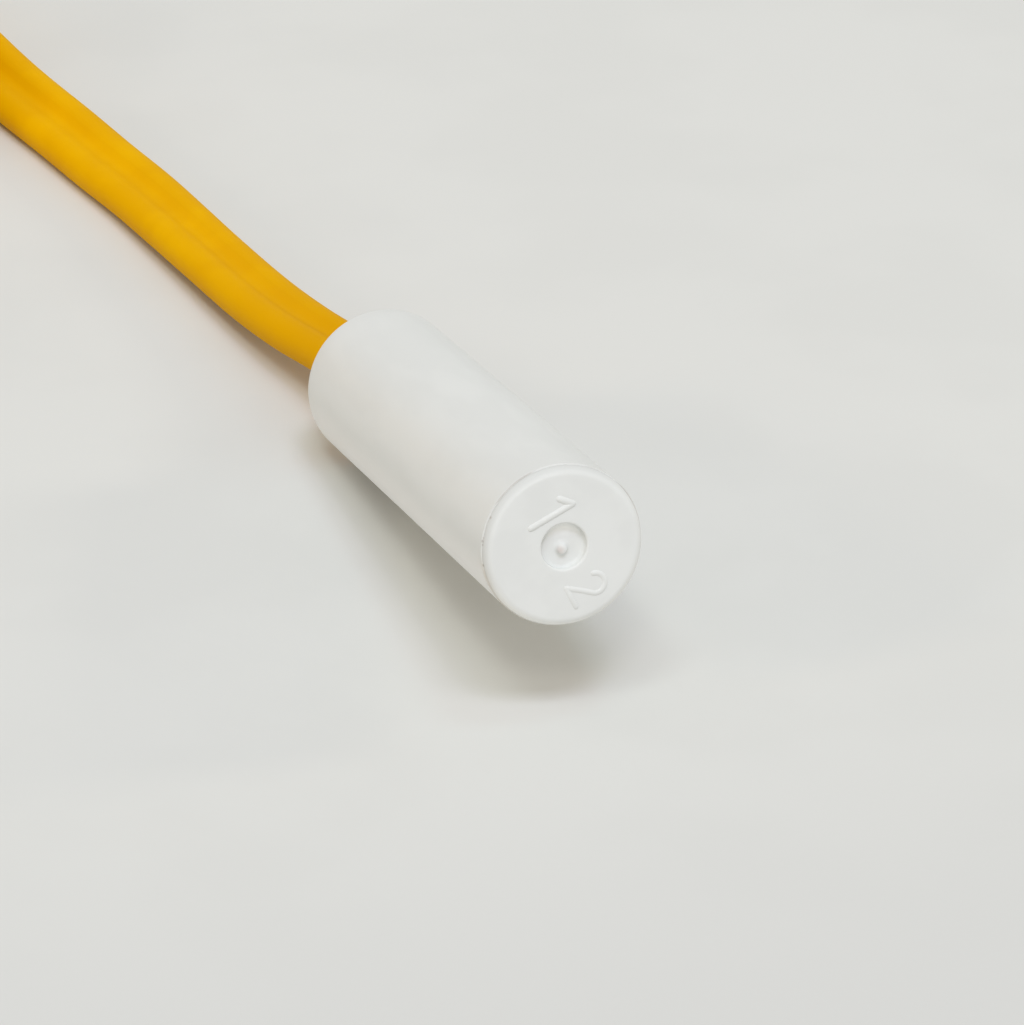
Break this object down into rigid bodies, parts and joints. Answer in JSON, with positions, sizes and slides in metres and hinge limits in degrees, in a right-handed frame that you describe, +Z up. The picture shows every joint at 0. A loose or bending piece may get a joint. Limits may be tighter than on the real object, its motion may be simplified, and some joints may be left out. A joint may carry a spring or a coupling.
{
  "type": "defrost temperature sensor",
  "caption": "Potted temperature sensor in a blunt round cap on a flat two-core lead, wound into a tied coil and ending in a small crimp connector.",
  "frame": {"origin": "under the middle of the cap, on the surface that the sensor lies on: the middle of the cap's own box in X and Y, and its lowest point", "axes": "+Z up; -Y is the way the cap's closed face looks, with the nose raised by 10 degrees; +X is to the right of the cap seen from its closed face's side, from the front"},
  "size_m": [0.0461, 0.0908, 0.0106],
  "materials": {
    "cap_plastic": "white moulded plastic, satin",
    "resin": "cured potting resin, slightly glossy",
    "ceramic_chip": "dark sintered ceramic with silvered faces",
    "bead_epoxy": "dipped coating, glossy",
    "tinned_wire": "tinned wire",
    "solder": "solder, satin",
    "sleeve_plastic": "shrunk black sleeve",
    "copper": "bare copper strands",
    "lead_pvc": "yellow extruded insulation, satin",
    "tie_plastic": "white ribbon",
    "housing_nylon": "natural moulded nylon",
    "contact_metal": "tinned brass sheet"
  },
  "bodies": {
    "root": {"cap": "cap_plastic", "resin_fill": "resin", "thermistor_chip": "ceramic_chip", "bead_coating": "bead_epoxy", "leg_left": "tinned_wire", "leg_right": "tinned_wire", "solder_left": "solder", "solder_right": "solder", "sleeve_left": "sleeve_plastic", "sleeve_right": "sleeve_plastic", "wire_left": "copper", "wire_right": "copper", "lead": "lead_pvc", "lead_coil": "lead_pvc", "lead_tail": "lead_pvc", "coil_tie": "tie_plastic", "core_left": "lead_pvc", "core_right": "lead_pvc", "connector_housing": "housing_nylon", "contact_left": "contact_metal", "contact_right": "contact_metal", "wire_end_left": "copper", "wire_end_right": "copper"}
  },
  "joints": []
}
